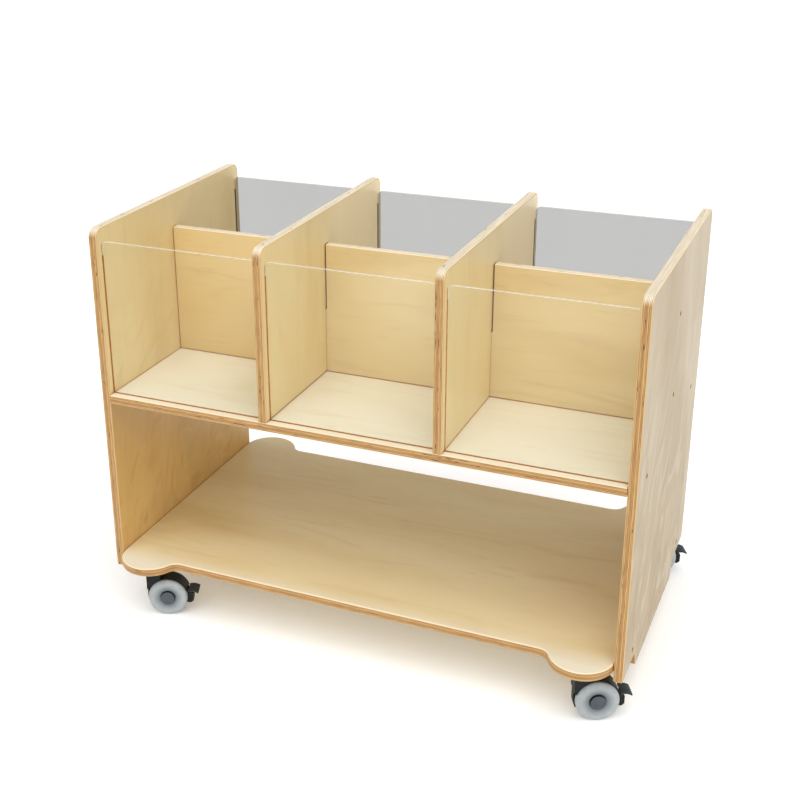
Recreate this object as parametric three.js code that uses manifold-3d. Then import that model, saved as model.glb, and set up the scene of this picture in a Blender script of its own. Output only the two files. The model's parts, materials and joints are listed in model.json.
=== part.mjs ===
// Mobile double-sided book cart, in millimetres, +Z up.
// The origin is on the floor under the middle of the cart; +X runs along the shelves.
// Birch plywood panels are bolted together, acrylic panels close the book bays at the
// front and the back, and four braked twin-wheel casters carry the bottom shelf.
import * as THREE from 'three';
import { mergeVertices } from 'three/addons/utils/BufferGeometryUtils.js';
import Module from 'manifold-3d';

const wasm = await Module();
wasm.setup();

// Overall size of the plywood body.
const WIDTH = 900;
const DEPTH = 482;
const HEIGHT = 702;
const PLY = 15;

// Heights above the floor.
const LOW_TOP = 113;
const MID_TOP = 413;
const BOARD_TOP = 643;
const HALF_LAP_Z = 528;
const FOOT_Z = 53;
const RAISED_Z = 84;

// Plywood details.
const GAP = 0.3;
const EDGE_ROUND = 2.5;
const SHELF_ROUND = 1.8;
const UNDERSIDE = LOW_TOP - PLY;
const PANEL_CORNER = 17;
const FOOT_HALF = 139;
const FOOT_RISE = { y: 145, z: 70 };
const STEP_BEND_Y = 148;
const STEP_END_Y = 175;
const INNER_X = WIDTH / 2 - PLY;
const DIVIDER_X = 147.5;
const DIVIDER_NOTCH = PLY + 2;
const BOARD_SLOT = PLY + 4;
const BOARD_CORNER = 3;

// Rounded ears of the bottom shelf, one over each caster.
const EAR_RADIUS = 51.7;
const EAR_X = INNER_X - GAP - EAR_RADIUS;
const EAR_Y = 230;
const EAR_FILLET = 20;

// Acrylic panels and the grooves that hold them.
const ACRYLIC = 4;
const GROOVE_WIDTH = ACRYLIC + 2 * GAP;
const GROOVE_DEPTH = 5;
const GROOVE_INSET = 15;
const GROOVE_Y = DEPTH / 2 - GROOVE_INSET;
const GROOVE_TOP = 655;
const ACRYLIC_TOP = 678.5;
const ACRYLIC_CORNER = 9;
const ACRYLIC_SIDE_GAP = 1;
const BAY_WIDTH = INNER_X - DIVIDER_X - PLY / 2;
const OUTER_BAY_X = INNER_X - BAY_WIDTH / 2;
const BAY_CENTRES = { left: -OUTER_BAY_X, middle: 0, right: OUTER_BAY_X };

// Connector bolts through the side panels: their places as [y, z].
const BOLT_HEAD_RADIUS = 4.2;
const BOLT_HEAD = 3;
const BOLT_SHANK_RADIUS = 2.5;
const BOLT_LENGTH = 48;
const BOLT_RECESS = 0.4;
const HEX_RADIUS = 2.3;
const HEX_DEPTH = 2;
const HEX_SIDES = 6;
const BOLT_CLEARANCE = 0.4;
const SHELF_BOLT_Y = 178;
const MIDDLE_SHELF_BOLTS = [-SHELF_BOLT_Y, SHELF_BOLT_Y].map((y) => [y, MID_TOP - PLY / 2]);
const BOTTOM_SHELF_BOLTS = [-SHELF_BOLT_Y, SHELF_BOLT_Y].map((y) => [y, LOW_TOP - PLY / 2]);
const BOARD_BOLTS = [[0, 597], [0, 463]];
const BOLT_PLACES = [...MIDDLE_SHELF_BOLTS, ...BOTTOM_SHELF_BOLTS, ...BOARD_BOLTS];

// Casters: each frame's origin is on the floor under the swivel axis, +X towards the pedal.
const WHEEL_RADIUS = 34.3;
const WHEEL_WIDTH = 12;
const WHEEL_OFFSET = 12.7;
const TRAIL = 26;
const WHEEL_CHAMFER = 2;
const TREAD_END = 1;
const SHOULDER = { inset: 1.8, height: 4.2 };
const CROWN_INSET = 7;
const HUB_SEAT = { rim: 3, floor: 4.6 };
const AXLE_RADIUS = 3;
const AXLE_HALF_LENGTH = 13.6;
const HUB_RADIUS = 12.7;
const HUB_THICKNESS = 5.4;
const HUB_CHAMFER = { width: 1.3, height: 1 };
const HUB_BACK = 4.2;
const HOOD_INNER = 34.9;
const HOOD_OUTER = 36.5;
const HOOD_HALF_WIDTH = 13.5;
const HOOD_END = 18;
const HOOD_FRONT = 160;
const HOOD_LIP = 4;
const WEB_END = 205;
const WEB_HALF_WIDTH = 6.2;
const TAIL_HALF_WIDTH = 8;
const TAIL_TOP = 40;
const TAIL_BOTTOM_ANGLE = -24;
const TAIL_CORNERS = [[65.5, 19.6], [70, 23.5], [70, 37], [67.5, TAIL_TOP]];
const PEDAL_SLOT = { from: 59.5, to: 72, bottom: 31.5, top: 50 };
const NECK_TOP = 94.6;
const NECK_BACK = 14;
const FLANGE_RADIUS = 14;
const FLANGE_BOTTOM = 95.2;
const STEM_RADIUS = 4;
const STEM_TOP = LOW_TOP - 5;
const STEM_HOLE_TOP = LOW_TOP - 4;
const KINGPIN_RADIUS = 5;
const KINGPIN_BOTTOM = 66;
const KINGPIN_END_GAP = 1;
const PEDAL_HALF_WIDTH = 13.4;
const PEDAL_THICKNESS = 2.2;
const PEDAL_HINGE = { x: 64.5, z: 37 };
const TRUNNION_RADIUS = 1.8;
const LUG_HALF_WIDTH = 4;
const LUG_CORNERS = [[-2.6, -2], [2.6, -2], [5, 8.4], [-2, 8.2]];
const PEDAL_SPINE = [[62, 44.9], [66, 45.7], [71, 45.7], [76, 44.2], [80, 42]];
const CASTER_PLACES = {
  front_left: { x: -EAR_X, y: -EAR_Y, turn: 22 },
  front_right: { x: EAR_X, y: -EAR_Y, turn: 27 },
  back_right: { x: EAR_X, y: EAR_Y, turn: 27 },
  back_left: { x: -EAR_X, y: EAR_Y, turn: 153 },
};

const SEGMENTS = {
  bolt: 10,
  wheel: 24,
  hub: 16,
  pin: 12,
  curve: 5,
  round: 2,
  ear: 14,
  earFillet: 4,
  hood: 9,
  hoodInner: 12,
  web: 3,
  tail: 6,
  pedal: 6,
};
const MERGE_TOLERANCE = 1e-4;
const OVERCUT = 2;

const UNIT = {
  x: new THREE.Vector3(1, 0, 0),
  y: new THREE.Vector3(0, 1, 0),
  z: new THREE.Vector3(0, 0, 1),
};

const COLOURS = {
  panel: 0xdcc79a,
  shelf: 0xe9dcb8,
  board: 0xdcbf86,
  clear: 0xeef2f2,
  grey: 0xc4c6cb,
  bolt: 0x3a3632,
  steel: 0xa9adb0,
  housing: 0x23272a,
  wheel: 0xb4bfc6,
  hub: 0x49545c,
};

const cart = new THREE.Group();

// Adds one named piece to a group, with a material of its own.
function addPiece(parent, name, geometry, colour, finish = {}) {
  const settings = { color: colour, roughness: 0.55, metalness: 0, ...finish };
  const piece = new THREE.Mesh(geometry, new THREE.MeshStandardMaterial(settings));
  piece.name = name;
  parent.add(piece);
  return piece;
}

// Turns a closed three.js geometry into a manifold solid.
function toSolid(geometry) {
  const bare = geometry.clone();
  bare.deleteAttribute('normal');
  bare.deleteAttribute('uv');
  const merged = mergeVertices(bare, MERGE_TOLERANCE);
  return new wasm.Manifold(new wasm.Mesh({
    numProp: 3,
    vertProperties: new Float32Array(merged.attributes.position.array),
    triVerts: new Uint32Array(merged.index.array),
  }));
}

// Turns a manifold solid back into a three.js geometry.
function toGeometry(solid) {
  const mesh = solid.getMesh();
  const geometry = new THREE.BufferGeometry();
  geometry.setAttribute('position', new THREE.BufferAttribute(new Float32Array(mesh.vertProperties), 3));
  geometry.setIndex(new THREE.BufferAttribute(new Uint32Array(mesh.triVerts), 1));
  geometry.computeVertexNormals();
  return geometry;
}

// Joins closed geometries into one, then cuts others out of it.
function combine(joined, cutters = []) {
  let solid = toSolid(joined[0]);
  for (const extra of joined.slice(1)) {
    solid = solid.add(toSolid(extra));
  }
  for (const cutter of cutters) {
    solid = solid.subtract(toSolid(cutter));
  }
  return toGeometry(solid);
}

// A flat slab of an outline, from 0 to its thickness, with rounded rims.
function slab(outline, thickness, round = 0) {
  const geometry = new THREE.ExtrudeGeometry(outline, {
    depth: thickness - 2 * round,
    bevelEnabled: round > 0,
    bevelThickness: round,
    bevelSize: round,
    bevelOffset: -round,
    bevelSegments: SEGMENTS.round,
    curveSegments: SEGMENTS.curve,
  });
  geometry.translate(0, 0, round);
  return geometry;
}

// Stands a slab up so that its outline lies in Y and Z, and its thickness along X.
function standAcross(geometry) {
  return geometry.applyMatrix4(new THREE.Matrix4().makeBasis(UNIT.y, UNIT.z, UNIT.x));
}

// Stands a slab up so that its outline lies in X and Z, centred on Y.
function standAlong(geometry, thickness) {
  const turn = new THREE.Matrix4().makeBasis(UNIT.x, UNIT.z, UNIT.y.clone().negate());
  return geometry.applyMatrix4(turn).translate(0, thickness / 2, 0);
}

// A box given by its lowest and highest corners.
function block(low, high) {
  const geometry = new THREE.BoxGeometry(high[0] - low[0], high[1] - low[1], high[2] - low[2]);
  return geometry.translate((low[0] + high[0]) / 2, (low[1] + high[1]) / 2, (low[2] + high[2]) / 2);
}

// A turned solid around +Z from a closed profile of [radius, height] points.
function turned(profile, segments) {
  const points = profile.map(([radius, height]) => new THREE.Vector2(radius, height));
  points.push(points[0].clone());
  const geometry = new THREE.LatheGeometry(points, segments);
  return geometry.rotateX(Math.PI / 2);
}

// A rod along X, Y or Z through a point.
function rod(axis, radius, from, to, centre, segments = SEGMENTS.pin) {
  const geometry = new THREE.CylinderGeometry(radius, radius, to - from, segments);
  if (axis === 'x') {
    geometry.rotateZ(-Math.PI / 2);
  }
  if (axis === 'z') {
    geometry.rotateX(Math.PI / 2);
  }
  const middle = new THREE.Vector3(...centre).addScaledVector(UNIT[axis], (from + to) / 2);
  return geometry.translate(middle.x, middle.y, middle.z);
}

// Outline of a rectangle with rounded upper corners.
function roundTopOutline(halfWidth, bottom, top, corner) {
  const outline = new THREE.Shape();
  outline.moveTo(-halfWidth, bottom);
  outline.lineTo(halfWidth, bottom);
  outline.lineTo(halfWidth, top - corner);
  outline.absarc(halfWidth - corner, top - corner, corner, 0, Math.PI / 2);
  outline.lineTo(-halfWidth + corner, top);
  outline.absarc(-halfWidth + corner, top - corner, corner, Math.PI / 2, Math.PI);
  return outline;
}

// Outline of a side panel: round upper corners and a foot between two raised ends.
function sidePanelOutline() {
  const half = DEPTH / 2;
  const outline = new THREE.Shape();
  outline.moveTo(-FOOT_HALF, FOOT_Z);
  outline.lineTo(FOOT_HALF, FOOT_Z);
  outline.lineTo(FOOT_RISE.y, FOOT_RISE.z);
  outline.quadraticCurveTo(STEP_BEND_Y, RAISED_Z, STEP_END_Y, RAISED_Z);
  outline.lineTo(half, RAISED_Z);
  outline.lineTo(half, HEIGHT - PANEL_CORNER);
  outline.absarc(half - PANEL_CORNER, HEIGHT - PANEL_CORNER, PANEL_CORNER, 0, Math.PI / 2);
  outline.lineTo(-half + PANEL_CORNER, HEIGHT);
  outline.absarc(-half + PANEL_CORNER, HEIGHT - PANEL_CORNER, PANEL_CORNER, Math.PI / 2, Math.PI);
  outline.lineTo(-half, RAISED_Z);
  outline.lineTo(-STEP_END_Y, RAISED_Z);
  outline.quadraticCurveTo(-STEP_BEND_Y, RAISED_Z, -FOOT_RISE.y, FOOT_RISE.z);
  return outline;
}

// Side panel with its inner face at x = 0 and its outer face at x = PLY.
function sidePanelGeometry() {
  const bottom = MID_TOP - GROOVE_DEPTH;
  const cutters = [-GROOVE_Y, GROOVE_Y].map((y) => block(
    [-OVERCUT, y - GROOVE_WIDTH / 2, bottom],
    [GROOVE_DEPTH, y + GROOVE_WIDTH / 2, GROOVE_TOP],
  ));
  const seat = PLY - BOLT_RECESS - BOLT_HEAD - GAP;
  const outside = PLY + OVERCUT;
  for (const [y, z] of BOLT_PLACES) {
    const centre = [0, y, z];
    cutters.push(rod('x', BOLT_SHANK_RADIUS + BOLT_CLEARANCE, -OVERCUT, outside, centre, SEGMENTS.bolt));
    cutters.push(rod('x', BOLT_HEAD_RADIUS + BOLT_CLEARANCE, seat, outside, centre, SEGMENTS.bolt));
  }
  return combine([standAcross(slab(sidePanelOutline(), PLY, EDGE_ROUND))], cutters);
}

// Divider centred on x = 0, notched over the central board, grooved on both faces.
function dividerGeometry() {
  const bottom = MID_TOP + GAP;
  const outline = roundTopOutline(DEPTH / 2, bottom, HEIGHT, PANEL_CORNER);
  const body = standAcross(slab(outline, PLY, EDGE_ROUND)).translate(-PLY / 2, 0, 0);
  const cutters = [block(
    [-PLY, -DIVIDER_NOTCH / 2, bottom - OVERCUT],
    [PLY, DIVIDER_NOTCH / 2, HALF_LAP_Z + GAP],
  )];
  const face = PLY / 2 - GROOVE_DEPTH;
  for (const y of [-GROOVE_Y, GROOVE_Y]) {
    for (const side of [-1, 1]) {
      const near = Math.min(side * face, side * PLY);
      cutters.push(block(
        [near, y - GROOVE_WIDTH / 2, bottom - OVERCUT],
        [near + PLY - face, y + GROOVE_WIDTH / 2, GROOVE_TOP],
      ));
    }
  }
  return combine([body], cutters);
}

// Central board between the side panels, slotted from above for the two dividers.
function boardGeometry() {
  const half = INNER_X - GAP;
  const outline = roundTopOutline(half, MID_TOP + GAP, BOARD_TOP, BOARD_CORNER);
  const cutters = [];
  for (const x of [-DIVIDER_X, DIVIDER_X]) {
    cutters.push(block(
      [x - BOARD_SLOT / 2, -PLY, HALF_LAP_Z],
      [x + BOARD_SLOT / 2, PLY, BOARD_TOP + OVERCUT],
    ));
  }
  cutters.push(...endBoltHoles(BOARD_BOLTS));
  return combine([standAlong(slab(outline, PLY, SHELF_ROUND), PLY)], cutters);
}

// Blind holes for the connector bolts in both ends of a board between the side panels.
function endBoltHoles(places) {
  const depth = INNER_X + PLY - BOLT_RECESS - BOLT_LENGTH - BOLT_CLEARANCE;
  return places.flatMap(([y, z]) => [-1, 1].map((side) => {
    const ends = [side * depth, side * (INNER_X + OVERCUT)].sort((a, b) => a - b);
    return rod('x', BOLT_SHANK_RADIUS + BOLT_CLEARANCE, ends[0], ends[1], [0, y, z], SEGMENTS.bolt);
  }));
}

// Middle shelf with two long grooves for the lower edges of the acrylic panels.
function middleShelfGeometry() {
  const half = INNER_X - GAP;
  const outline = new THREE.Shape();
  outline.moveTo(-half, -DEPTH / 2);
  outline.lineTo(half, -DEPTH / 2);
  outline.lineTo(half, DEPTH / 2);
  outline.lineTo(-half, DEPTH / 2);
  const body = slab(outline, PLY, SHELF_ROUND).translate(0, 0, MID_TOP - PLY);
  const cutters = [-GROOVE_Y, GROOVE_Y].map((y) => block(
    [-WIDTH, y - GROOVE_WIDTH / 2, MID_TOP - GROOVE_DEPTH],
    [WIDTH, y + GROOVE_WIDTH / 2, MID_TOP + OVERCUT],
  ));
  return combine([body], [...cutters, ...endBoltHoles(MIDDLE_SHELF_BOLTS)]);
}

// Quarter of the bottom shelf's outline, from the middle of its end to the middle of its
// long edge: along the end, around the ear, through the hollow fillet to the long edge.
function earPath(signX, signY) {
  const points = [];
  const rise = EAR_FILLET + DEPTH / 2 - EAR_Y;
  const run = Math.sqrt((EAR_RADIUS + EAR_FILLET) ** 2 - rise ** 2);
  const meet = Math.atan2(rise, -run);
  for (let i = 0; i <= SEGMENTS.ear; i += 1) {
    const angle = (meet * i) / SEGMENTS.ear;
    points.push([EAR_X + EAR_RADIUS * Math.cos(angle), EAR_Y + EAR_RADIUS * Math.sin(angle)]);
  }
  const filletX = EAR_X - run;
  const filletY = EAR_Y + rise;
  const start = meet - Math.PI;
  for (let i = 1; i <= SEGMENTS.earFillet; i += 1) {
    const angle = start + ((-Math.PI / 2 - start) * i) / SEGMENTS.earFillet;
    points.push([filletX + EAR_FILLET * Math.cos(angle), filletY + EAR_FILLET * Math.sin(angle)]);
  }
  return points.map(([x, y]) => new THREE.Vector2(signX * x, signY * y));
}

// Bottom shelf with four ears and a blind hole for each caster's stem.
function bottomShelfGeometry() {
  const outline = new THREE.Shape([
    ...earPath(1, 1),
    ...earPath(-1, 1).reverse(),
    ...earPath(-1, -1),
    ...earPath(1, -1).reverse(),
  ]);
  const body = slab(outline, PLY, EDGE_ROUND).translate(0, 0, UNDERSIDE);
  const stemHoles = Object.values(CASTER_PLACES).map(({ x, y }) => rod(
    'z',
    STEM_RADIUS + BOLT_CLEARANCE,
    UNDERSIDE - OVERCUT,
    STEM_HOLE_TOP,
    [x, y, 0],
    SEGMENTS.bolt,
  ));
  return combine([body], [...stemHoles, ...endBoltHoles(BOTTOM_SHELF_BOLTS)]);
}

// Acrylic panel of one bay: its sides and lower edge sit in grooves, and above the
// stopped grooves it narrows to clear the plywood faces.
function acrylicGeometry() {
  const wide = BAY_WIDTH / 2 + GROOVE_DEPTH - BOLT_CLEARANCE;
  const narrow = BAY_WIDTH / 2 - ACRYLIC_SIDE_GAP;
  const bottom = MID_TOP - GROOVE_DEPTH + BOLT_CLEARANCE;
  const shoulder = GROOVE_TOP - BOLT_CLEARANCE;
  const corner = ACRYLIC_TOP - ACRYLIC_CORNER;
  const outline = new THREE.Shape();
  outline.moveTo(-wide, bottom);
  outline.lineTo(wide, bottom);
  outline.lineTo(wide, shoulder);
  outline.lineTo(narrow, shoulder);
  outline.lineTo(narrow, corner);
  outline.absarc(narrow - ACRYLIC_CORNER, corner, ACRYLIC_CORNER, 0, Math.PI / 2);
  outline.lineTo(-narrow + ACRYLIC_CORNER, ACRYLIC_TOP);
  outline.absarc(-narrow + ACRYLIC_CORNER, corner, ACRYLIC_CORNER, Math.PI / 2, Math.PI);
  outline.lineTo(-narrow, shoulder);
  outline.lineTo(-wide, shoulder);
  return standAlong(slab(outline, ACRYLIC), ACRYLIC);
}

// Connector bolt along +X: its head ends at x = 0, with a hexagon socket.
function boltGeometry() {
  const body = turned([
    [0, 0],
    [BOLT_HEAD_RADIUS, 0],
    [BOLT_HEAD_RADIUS, -BOLT_HEAD],
    [BOLT_SHANK_RADIUS, -BOLT_HEAD],
    [BOLT_SHANK_RADIUS, -BOLT_LENGTH],
    [0, -BOLT_LENGTH],
  ].reverse(), SEGMENTS.bolt).rotateY(Math.PI / 2);
  return combine([body], [rod('x', HEX_RADIUS, -HEX_DEPTH, OVERCUT, [0, 0, 0], HEX_SIDES)]);
}

// Caster stem: a threaded shank in the shelf, a flange under it and the kingpin below.
function stemGeometry() {
  return turned([
    [0, KINGPIN_BOTTOM],
    [KINGPIN_RADIUS, KINGPIN_BOTTOM],
    [KINGPIN_RADIUS, FLANGE_BOTTOM],
    [FLANGE_RADIUS, FLANGE_BOTTOM],
    [FLANGE_RADIUS, UNDERSIDE - GAP],
    [STEM_RADIUS, UNDERSIDE - GAP],
    [STEM_RADIUS, STEM_TOP],
    [0, STEM_TOP],
  ], SEGMENTS.pin);
}

// A point on a circle about the caster's axle.
function aboutAxle(radius, degrees) {
  const angle = THREE.MathUtils.degToRad(degrees);
  return [TRAIL + radius * Math.cos(angle), WHEEL_RADIUS + radius * Math.sin(angle)];
}

// Points of an arc about the caster's axle, both ends included.
function axleArc(radius, fromDegrees, toDegrees, steps) {
  const points = [];
  for (let i = 0; i <= steps; i += 1) {
    points.push(aboutAxle(radius, fromDegrees + ((toDegrees - fromDegrees) * i) / steps));
  }
  return points;
}

// A slab of a caster outline in X and Z, centred on the caster's middle plane.
function casterSlab(points, halfWidth) {
  const outline = new THREE.Shape(points.map(([x, z]) => new THREE.Vector2(x, z)));
  return standAlong(slab(outline, 2 * halfWidth), 2 * halfWidth);
}

// Housing: a web between the wheels, a hood over them, a neck and a tail for the pedal.
function housingGeometry() {
  const front = TRAIL - HOOD_OUTER;
  const neckAngle = THREE.MathUtils.radToDeg(Math.acos((NECK_BACK - TRAIL) / HOOD_OUTER));
  const neck = [[front, NECK_TOP], [NECK_BACK, NECK_TOP]];
  const tailTopAngle = THREE.MathUtils.radToDeg(Math.asin((TAIL_TOP - WHEEL_RADIUS) / HOOD_INNER));
  const web = casterSlab([
    ...neck,
    ...axleArc(HOOD_OUTER, neckAngle, tailTopAngle, SEGMENTS.hood),
    ...TAIL_CORNERS.slice().reverse(),
    aboutAxle(HOOD_INNER, TAIL_BOTTOM_ANGLE),
    ...axleArc(HOOD_OUTER, WEB_END, 180, SEGMENTS.web),
  ].reverse(), WEB_HALF_WIDTH);
  const hood = casterSlab([
    ...neck,
    ...axleArc(HOOD_OUTER, neckAngle, HOOD_END, SEGMENTS.hood),
    ...axleArc(HOOD_INNER, HOOD_END, HOOD_FRONT, SEGMENTS.hoodInner),
    [front, aboutAxle(HOOD_INNER, HOOD_FRONT)[1] + HOOD_LIP],
  ].reverse(), HOOD_HALF_WIDTH);
  const cheeks = casterSlab([
    ...axleArc(HOOD_INNER, tailTopAngle, TAIL_BOTTOM_ANGLE, SEGMENTS.tail),
    ...TAIL_CORNERS,
  ], TAIL_HALF_WIDTH);
  const slot = LUG_HALF_WIDTH + BOLT_CLEARANCE;
  const pinHoleEnd = KINGPIN_BOTTOM - KINGPIN_END_GAP;
  return combine([web, hood, cheeks], [
    rod('z', KINGPIN_RADIUS + BOLT_CLEARANCE, pinHoleEnd, NECK_TOP + OVERCUT, [0, 0, 0]),
    rod('y', AXLE_RADIUS + GAP, -TAIL_HALF_WIDTH, TAIL_HALF_WIDTH, [TRAIL, 0, WHEEL_RADIUS]),
    block([PEDAL_SLOT.from, -slot, PEDAL_SLOT.bottom], [PEDAL_SLOT.to, slot, PEDAL_SLOT.top]),
    rod('y', TRUNNION_RADIUS + GAP, -OVERCUT - TAIL_HALF_WIDTH, OVERCUT + TAIL_HALF_WIDTH,
      [PEDAL_HINGE.x, 0, PEDAL_HINGE.z], SEGMENTS.bolt),
  ]);
}

// Wheel around +Z, its bulged outer face up, dished towards the hub.
function wheelGeometry() {
  const half = WHEEL_WIDTH / 2;
  const bore = AXLE_RADIUS + BOLT_CLEARANCE;
  return turned([
    [bore, -half],
    [WHEEL_RADIUS - WHEEL_CHAMFER, -half],
    [WHEEL_RADIUS, -half + WHEEL_CHAMFER],
    [WHEEL_RADIUS, TREAD_END],
    [WHEEL_RADIUS - SHOULDER.inset, SHOULDER.height],
    [WHEEL_RADIUS - CROWN_INSET, half],
    [HUB_RADIUS + BOLT_CLEARANCE, half - HUB_SEAT.rim],
    [HUB_RADIUS + BOLT_CLEARANCE, half - HUB_SEAT.floor],
    [bore, half - HUB_SEAT.floor],
  ], SEGMENTS.wheel);
}

// Hub cap around +Z with a chamfered rim.
function hubCapGeometry() {
  return turned([
    [0, 0],
    [HUB_RADIUS, 0],
    [HUB_RADIUS, HUB_THICKNESS - HUB_CHAMFER.height],
    [HUB_RADIUS - HUB_CHAMFER.width, HUB_THICKNESS],
    [0, HUB_THICKNESS],
  ], SEGMENTS.hub);
}

// Brake pedal: an arched lever with a lug and two trunnions.
function pedalGeometry() {
  const spine = new THREE.SplineCurve(PEDAL_SPINE.map(([x, z]) => new THREE.Vector2(x, z)));
  const above = [];
  const below = [];
  const half = PEDAL_THICKNESS / 2;
  for (let i = 0; i <= SEGMENTS.pedal; i += 1) {
    const point = spine.getPoint(i / SEGMENTS.pedal);
    const along = spine.getTangent(i / SEGMENTS.pedal);
    above.push([point.x - along.y * half, point.y + along.x * half]);
    below.push([point.x + along.y * half, point.y - along.x * half]);
  }
  const lever = casterSlab([...below, ...above.reverse()], PEDAL_HALF_WIDTH);
  const lug = casterSlab(
    LUG_CORNERS.map(([x, z]) => [PEDAL_HINGE.x + x, PEDAL_HINGE.z + z]),
    LUG_HALF_WIDTH,
  );
  const reach = TAIL_HALF_WIDTH - BOLT_CLEARANCE;
  const hinge = [PEDAL_HINGE.x, 0, PEDAL_HINGE.z];
  const trunnions = rod('y', TRUNNION_RADIUS, -reach, reach, hinge, SEGMENTS.bolt);
  return combine([lever, lug, trunnions]);
}

// Plywood body.
const matteWood = { roughness: 0.5 };
const sidePanel = sidePanelGeometry();
const rightPanel = addPiece(cart, 'side_panel_right', sidePanel, COLOURS.panel, matteWood);
rightPanel.position.x = INNER_X;
const leftPanel = addPiece(cart, 'side_panel_left', sidePanel.clone(), COLOURS.panel, matteWood);
leftPanel.position.x = -INNER_X;
leftPanel.rotation.z = Math.PI;
addPiece(cart, 'bottom_shelf', bottomShelfGeometry(), COLOURS.shelf, matteWood);
addPiece(cart, 'middle_shelf', middleShelfGeometry(), COLOURS.shelf, matteWood);
addPiece(cart, 'center_board', boardGeometry(), COLOURS.board, matteWood);
for (const [name, x] of [['divider_left', -DIVIDER_X], ['divider_right', DIVIDER_X]]) {
  addPiece(cart, name, dividerGeometry(), COLOURS.panel, matteWood).position.x = x;
}

// Acrylic panels.
const clear = { roughness: 0.05, transparent: true, opacity: 0.25 };
const grey = { roughness: 0.08, transparent: true, opacity: 0.5 };
for (const [bay, x] of Object.entries(BAY_CENTRES)) {
  const front = addPiece(cart, `front_acrylic_${bay}`, acrylicGeometry(), COLOURS.clear, clear);
  front.position.set(x, -GROOVE_Y, 0);
  const rear = addPiece(cart, `rear_acrylic_${bay}`, acrylicGeometry(), COLOURS.grey, grey);
  rear.position.set(x, GROOVE_Y, 0);
}

// Connector bolts.
const boltFinish = { metalness: 0.8 };
for (const [side, sign] of [['left', -1], ['right', 1]]) {
  BOLT_PLACES.forEach(([y, z], index) => {
    const name = `bolt_${side}_${index + 1}`;
    const bolt = addPiece(cart, name, boltGeometry(), COLOURS.bolt, boltFinish);
    bolt.position.set(sign * (WIDTH / 2 - BOLT_RECESS), y, z);
    bolt.rotation.z = sign > 0 ? 0 : Math.PI;
  });
}

// Casters.
for (const [place, { x, y, turn }] of Object.entries(CASTER_PLACES)) {
  const caster = new THREE.Group();
  caster.position.set(x, y, 0);
  caster.rotation.z = THREE.MathUtils.degToRad(turn);
  cart.add(caster);
  const name = `caster_${place}`;
  const steel = { metalness: 0.9, roughness: 0.35 };
  addPiece(caster, `${name}_stem`, stemGeometry(), COLOURS.steel, steel);
  addPiece(caster, `${name}_housing`, housingGeometry(), COLOURS.housing);
  const axle = rod('y', AXLE_RADIUS, -AXLE_HALF_LENGTH, AXLE_HALF_LENGTH, [TRAIL, 0, WHEEL_RADIUS]);
  addPiece(caster, `${name}_axle`, axle, COLOURS.steel, steel);
  addPiece(caster, `${name}_brake_pedal`, pedalGeometry(), COLOURS.housing);
  for (const [letter, side] of [['a', -1], ['b', 1]]) {
    const wheel = addPiece(caster, `${name}_wheel_${letter}`, wheelGeometry(), COLOURS.wheel);
    wheel.position.set(TRAIL, side * WHEEL_OFFSET, WHEEL_RADIUS);
    wheel.rotation.x = -side * Math.PI / 2;
    const cap = addPiece(caster, `${name}_hub_cap_${letter}`, hubCapGeometry(), COLOURS.hub);
    cap.position.set(TRAIL, side * (WHEEL_OFFSET + WHEEL_WIDTH / 2 - HUB_BACK), WHEEL_RADIUS);
    cap.rotation.x = -side * Math.PI / 2;
  }
}

export default cart;
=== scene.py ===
import json
import math

import bmesh
import bpy
from mathutils import Matrix, Vector


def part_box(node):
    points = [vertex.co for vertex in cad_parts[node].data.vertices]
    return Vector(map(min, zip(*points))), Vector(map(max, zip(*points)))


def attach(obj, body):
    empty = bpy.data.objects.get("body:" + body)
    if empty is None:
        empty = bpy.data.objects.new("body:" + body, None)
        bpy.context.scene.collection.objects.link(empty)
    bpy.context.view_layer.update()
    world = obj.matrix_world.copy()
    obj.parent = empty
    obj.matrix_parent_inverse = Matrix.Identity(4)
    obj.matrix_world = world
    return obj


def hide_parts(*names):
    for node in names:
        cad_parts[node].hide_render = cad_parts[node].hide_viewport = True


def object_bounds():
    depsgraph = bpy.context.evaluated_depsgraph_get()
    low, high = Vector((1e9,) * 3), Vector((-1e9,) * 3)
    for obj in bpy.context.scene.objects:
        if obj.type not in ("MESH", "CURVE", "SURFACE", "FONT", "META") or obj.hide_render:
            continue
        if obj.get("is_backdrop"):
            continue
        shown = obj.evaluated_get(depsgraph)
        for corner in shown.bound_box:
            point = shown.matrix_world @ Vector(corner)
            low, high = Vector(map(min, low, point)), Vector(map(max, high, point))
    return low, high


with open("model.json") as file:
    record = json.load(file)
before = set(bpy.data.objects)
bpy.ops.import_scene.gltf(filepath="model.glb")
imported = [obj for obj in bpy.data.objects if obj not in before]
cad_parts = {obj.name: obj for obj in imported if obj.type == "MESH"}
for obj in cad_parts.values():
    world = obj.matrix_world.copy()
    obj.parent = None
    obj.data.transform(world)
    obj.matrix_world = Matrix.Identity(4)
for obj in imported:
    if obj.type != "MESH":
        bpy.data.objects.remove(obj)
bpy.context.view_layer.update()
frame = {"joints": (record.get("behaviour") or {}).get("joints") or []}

# Plywood body.
EDGE_ROUND = 0.0025
SHELF_ROUND = 0.0018
ROUND_STEPS = 5
PANEL_CORNER = 0.017
CORNER_STEPS = 14
FOOT_HALF = 0.139
FOOT_RISE = (0.145, 0.070)
RAISED_Z = 0.084
STEP_BEND = (0.148, RAISED_Z)
STEP_END = (0.175, RAISED_Z)
STEP_STEPS = 8
EAR_FILLET = 0.020
EAR_STEPS = 40
FILLET_STEPS = 12
# Depth in front of which the bottom shelf's ears carry painted light.
EAR_LIGHT_FROM = -0.21
BOARD_CORNER = 0.003
DIVIDERS = ("divider_left", "divider_right")
HALF_LAP_Z = 0.528
NOTCH_PLAY = 0.001
BOARD_SLOT_PLAY = 0.002
NOTCH_OVERRUN = 0.0045
PIECE_GAP = 0.0003
FACES_OUT = 0.9                                        # least X of an outer face's normal

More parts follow.
